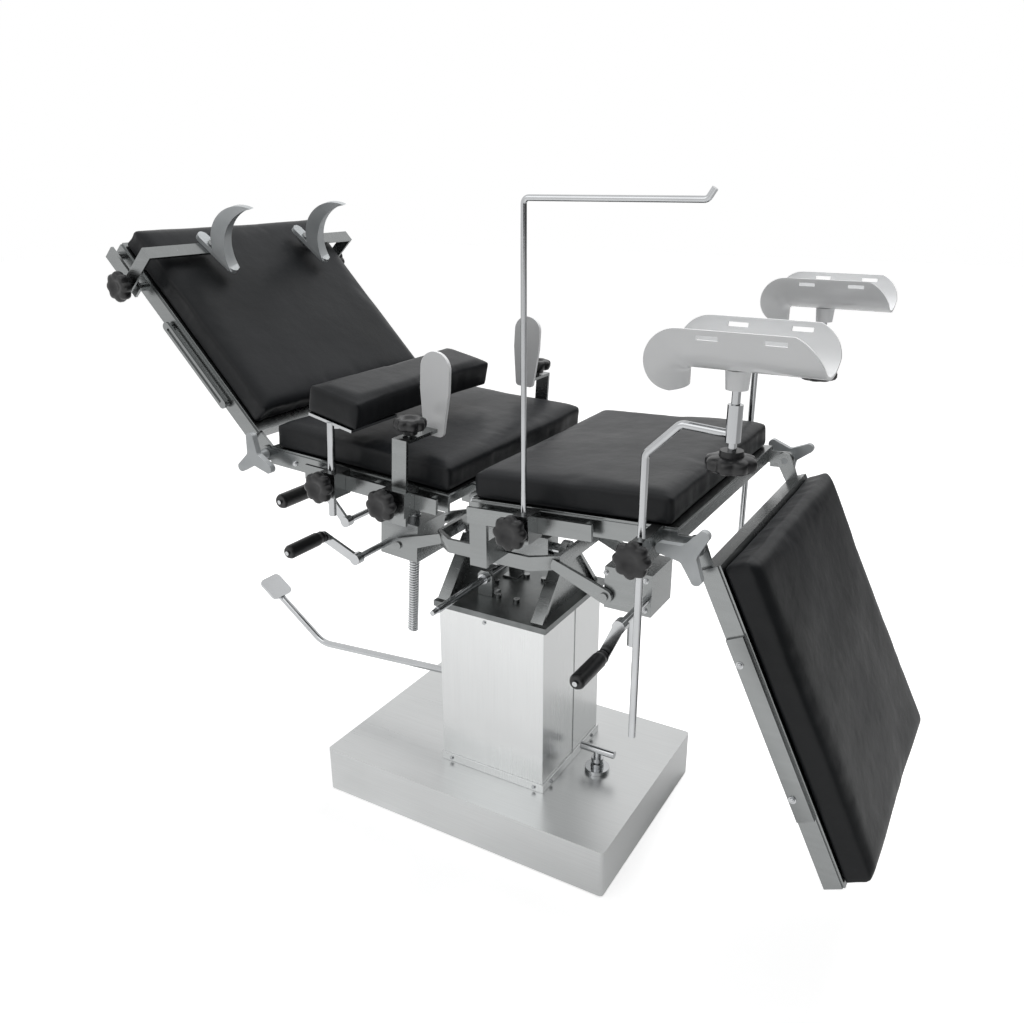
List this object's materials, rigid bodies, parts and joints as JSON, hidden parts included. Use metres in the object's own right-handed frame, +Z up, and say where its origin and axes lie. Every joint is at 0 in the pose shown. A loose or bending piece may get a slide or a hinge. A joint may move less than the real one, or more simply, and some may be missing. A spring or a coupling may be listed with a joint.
{
  "type": "operating table",
  "caption": "Hydraulic operating table with hinged back, lumbar, seat and leg sections, screw-jack cranks and rail-mounted supports.",
  "frame": {"origin": "centre of the base, at floor level", "axes": "+X towards the foot end, -Y towards the crank side, +Z up"},
  "size_m": [1.5526, 0.786, 1.2684],
  "materials": {
    "black_vinyl": "soft sheen vinyl",
    "brushed_steel": "brushed",
    "bright_steel": "polished",
    "foot_rubber": "matte",
    "black_plastic": "moulded",
    "grey_casting": "painted casting",
    "dark_plate": "satin",
    "white_shell": "gloss"
  },
  "bodies": {
    "base": {"base_cover": "brushed_steel", "base_chassis": "brushed_steel", "base_feet": "foot_rubber", "column_cover": "brushed_steel", "hydraulic_pump": "brushed_steel", "brake_flange": "brushed_steel"},
    "lift": {"inner_sleeve": "brushed_steel", "lift_ram": "bright_steel", "top_plate": "dark_plate", "trunnion_plates": "brushed_steel", "worm_bracket": "brushed_steel"},
    "pedal": {"pump_pedal": "bright_steel"},
    "brake": {"brake_handle": "brushed_steel"},
    "tilt": {"tilt_band": "brushed_steel", "tilt_axle": "bright_steel", "outrigger_frame": "brushed_steel", "pivot_shaft": "bright_steel"},
    "worm": {"tilt_worm_shaft": "bright_steel"},
    "lumbar": {"lumbar_frame": "brushed_steel", "lumbar_pad": "black_vinyl", "lumbar_rails": "brushed_steel", "lumbar_clamps": "brushed_steel"},
    "seat": {"seat_frame": "brushed_steel", "seat_pad": "black_vinyl", "seat_rails": "brushed_steel", "seat_clamps": "brushed_steel"},
    "back": {"back_frame": "brushed_steel", "back_pad": "black_vinyl", "back_sector": "bright_steel", "shoulder_straps": "brushed_steel"},
    "leg": {"leg_frame": "brushed_steel", "leg_pad": "black_vinyl"},
    "head_gearbox": {"gearbox_lumbar": "brushed_steel"},
    "head_screw": {"jack_screw_lumbar": "bright_steel"},
    "foot_gearbox": {"gearbox_seat": "brushed_steel"},
    "foot_screw": {"jack_screw_seat": "bright_steel"},
    "crank_lumbar_body": {"crank_lumbar": "bright_steel"},
    "grip_lumbar_body": {"grip_lumbar": "black_plastic"},
    "crank_seat_body": {"crank_seat": "bright_steel"},
    "grip_seat_body": {"grip_seat": "black_plastic"},
    "crank_back_body": {"crank_back": "bright_steel"},
    "grip_back_body": {"grip_back": "black_plastic"},
    "wing_lever_back_body": {"wing_lever_back": "grey_casting"},
    "wing_lever_leg_near_body": {"wing_lever_leg_near": "grey_casting"},
    "wing_lever_leg_far_body": {"wing_lever_leg_far": "grey_casting"},
    "horn_near_body": {"horn_near": "grey_casting"},
    "horn_far_body": {"horn_far": "grey_casting"},
    "side_support_near_body": {"side_support_near": "brushed_steel"},
    "side_support_far_body": {"side_support_far": "brushed_steel"},
    "screen_rod_body": {"screen_rod": "bright_steel"},
    "screen_knob_body": {"screen_knob": "black_plastic"},
    "leg_rod_near_body": {"leg_rod_near": "bright_steel"},
    "leg_rod_far_body": {"leg_rod_far": "bright_steel"},
    "trough_near_body": {"trough_near": "white_shell"},
    "trough_far_body": {"trough_far": "white_shell"},
    "leg_clamp_knob_body": {"leg_clamp_knob": "black_plastic"},
    "arm_pad_body": {"arm_pad": "black_vinyl", "arm_pad_post": "brushed_steel"}
  },
  "joints": [
    {"name": "lift_slide", "type": "slide", "parent": "base", "child": "lift", "axis": [0, 0, 1], "range_m": [0, 0.25]},
    {"name": "pedal_stroke", "type": "hinge", "parent": "base", "child": "pedal", "pos_m": [-0.048, 0, 0.24], "axis": [0, -1, 0], "range_deg": [0, 12], "stiffness_Nm_per_rad": 60, "springref_deg": -20.05},
    {"name": "brake_turn", "type": "hinge", "parent": "base", "child": "brake", "pos_m": [0.211, 0, 0.104], "axis": [0, 0, 1], "range_deg": [0, 180]},
    {"name": "lateral_tilt", "type": "hinge", "parent": "lift", "child": "tilt", "pos_m": [0, 0, 0.586], "axis": [1, 0, 0], "range_deg": [-20, 20]},
    {"name": "worm_turn", "type": "hinge", "parent": "lift", "child": "worm", "pos_m": [-0.02, 0, 0.52], "axis": [0, 1, 0], "range_deg": [-720, 720]},
    {"name": "lumbar_tilt", "type": "hinge", "parent": "tilt", "child": "lumbar", "pos_m": [0.054, 0, 0.74], "axis": [0, 1, 0], "range_deg": [-12, 12]},
    {"name": "seat_tilt", "type": "hinge", "parent": "tilt", "child": "seat", "pos_m": [0.054, 0, 0.74], "axis": [0, 1, 0], "range_deg": [-12, 10]},
    {"name": "back_raise", "type": "hinge", "parent": "lumbar", "child": "back", "pos_m": [-0.39455, 0, 0.77702], "axis": [0, 1, 0], "range_deg": [-55, 27]},
    {"name": "leg_fold", "type": "hinge", "parent": "seat", "child": "leg", "pos_m": [0.47563, 0, 0.75788], "axis": [0, 1, 0], "range_deg": [-67, 23]},
    {"name": "head_jack_swing", "type": "hinge", "parent": "tilt", "child": "head_gearbox", "pos_m": [-0.212, 0, 0.563], "axis": [0, 1, 0], "range_deg": [-2, 2]},
    {"name": "head_jack_travel", "type": "slide", "parent": "head_gearbox", "child": "head_screw", "axis": [0.075, 0, 0.9972], "range_m": [-0.054, 0.054]},
    {"name": "foot_jack_swing", "type": "hinge", "parent": "tilt", "child": "foot_gearbox", "pos_m": [0.256, 0, 0.556], "axis": [0, 1, 0], "range_deg": [-1, 1]},
    {"name": "foot_jack_travel", "type": "slide", "parent": "foot_gearbox", "child": "foot_screw", "axis": [0, 0, 1], "range_m": [-0.044, 0.052]},
    {"name": "lumbar_crank_turn", "type": "hinge", "parent": "head_gearbox", "child": "crank_lumbar_body", "pos_m": [-0.251, -0.1, 0.557], "axis": [0, 1, 0], "range_deg": [-4320, 4320]},
    {"name": "seat_crank_turn", "type": "hinge", "parent": "foot_gearbox", "child": "crank_seat_body", "pos_m": [0.335, -0.1, 0.564], "axis": [0, 1, 0], "range_deg": [-4320, 4320]},
    {"name": "back_crank_turn", "type": "hinge", "parent": "lumbar", "child": "crank_back_body", "pos_m": [-0.38455, -0.052, 0.56926], "axis": [0, 1, 0], "range_deg": [-360, 720]},
    {"name": "lumbar_grip_spin", "type": "hinge", "parent": "crank_lumbar_body", "child": "grip_lumbar_body", "pos_m": [-0.33229, -0.189, 0.59071], "axis": [0, 1, 0], "continuous": true},
    {"name": "seat_grip_spin", "type": "hinge", "parent": "crank_seat_body", "child": "grip_seat_body", "pos_m": [0.30785, -0.206, 0.50165], "axis": [0, 1, 0], "continuous": true},
    {"name": "back_grip_spin", "type": "hinge", "parent": "crank_back_body", "child": "grip_back_body", "pos_m": [-0.44995, -0.059, 0.64225], "axis": [0, 1, 0], "continuous": true},
    {"name": "back_lever_turn", "type": "hinge", "parent": "lumbar", "child": "wing_lever_back_body", "pos_m": [-0.39455, 0, 0.77702], "axis": [0, 1, 0], "range_deg": [-90, 90]},
    {"name": "leg_lever_turn_near", "type": "hinge", "parent": "seat", "child": "wing_lever_leg_near_body", "pos_m": [0.47563, 0, 0.75788], "axis": [0, 1, 0], "range_deg": [-90, 90]},
    {"name": "leg_lever_turn_far", "type": "hinge", "parent": "seat", "child": "wing_lever_leg_far_body", "pos_m": [0.47563, 0, 0.75788], "axis": [0, 1, 0], "range_deg": [-90, 90]},
    {"name": "arm_pad_lift", "type": "slide", "parent": "lumbar", "child": "arm_pad_body", "axis": [0.0645, 0, 0.9979], "range_m": [0, 0.06]},
    {"name": "side_support_lift_near", "type": "slide", "parent": "lumbar", "child": "side_support_near_body", "axis": [0.0645, 0, 0.9979], "range_m": [0, 0.05]},
    {"name": "side_support_lift_far", "type": "slide", "parent": "lumbar", "child": "side_support_far_body", "axis": [0.0645, 0, 0.9979], "range_m": [0, 0.05]},
    {"name": "horn_swing_near", "type": "hinge", "parent": "back", "child": "horn_near_body", "pos_m": [-0.62112, -0.138, 1.14653], "axis": [0.7254, 0, 0.6884], "range_deg": [-30, 30]},
    {"name": "horn_swing_far", "type": "hinge", "parent": "back", "child": "horn_far_body", "pos_m": [-0.62112, 0.138, 1.14653], "axis": [0.7254, 0, 0.6884], "range_deg": [-30, 30]},
    {"name": "screen_swing", "type": "hinge", "parent": "seat", "child": "screen_rod_body", "pos_m": [0.204, -0.3, 0.9], "axis": [0, 0, 1], "range_deg": [-90, 90]},
    {"name": "screen_knob_turn", "type": "hinge", "parent": "seat", "child": "screen_knob_body", "pos_m": [0.19643, -0.3216, 0.75072], "axis": [0, 1, 0], "continuous": true},
    {"name": "leg_clamp_knob_turn", "type": "hinge", "parent": "seat", "child": "leg_clamp_knob_body", "pos_m": [0.41595, -0.3483, 0.76107], "axis": [0, 1, 0], "continuous": true},
    {"name": "leg_support_lift_near", "type": "slide", "parent": "seat", "child": "leg_rod_near_body", "axis": [0, 0, 1], "range_m": [-0.04, 0.08]},
    {"name": "leg_support_lift_far", "type": "slide", "parent": "seat", "child": "leg_rod_far_body", "axis": [0, 0, 1], "range_m": [-0.04, 0.08]},
    {"name": "trough_swivel_near", "type": "hinge", "parent": "leg_rod_near_body", "child": "trough_near_body", "pos_m": [0.539, -0.325, 1.06], "axis": [0, 0, 1], "range_deg": [-60, 60]},
    {"name": "trough_swivel_far", "type": "hinge", "parent": "leg_rod_far_body", "child": "trough_far_body", "pos_m": [0.504, 0.325, 1.06], "axis": [0, 0, 1], "range_deg": [-60, 60]}
  ],
  "couplings": [
    {"joint": "worm_turn", "follows": "lateral_tilt", "ratio": 36},
    {"joint": "head_jack_swing", "follows": "lumbar_tilt", "ratio": -0.04},
    {"joint": "head_jack_travel", "follows": "lumbar_tilt", "m_per_rad": 0.2526},
    {"joint": "foot_jack_swing", "follows": "seat_tilt", "ratio": 0.032},
    {"joint": "foot_jack_travel", "follows": "seat_tilt", "m_per_rad": -0.2383},
    {"joint": "lumbar_crank_turn", "follows": "lumbar_tilt", "ratio": 360},
    {"joint": "seat_crank_turn", "follows": "seat_tilt", "ratio": 360},
    {"joint": "back_crank_turn", "follows": "back_raise", "ratio": -12}
  ]
}
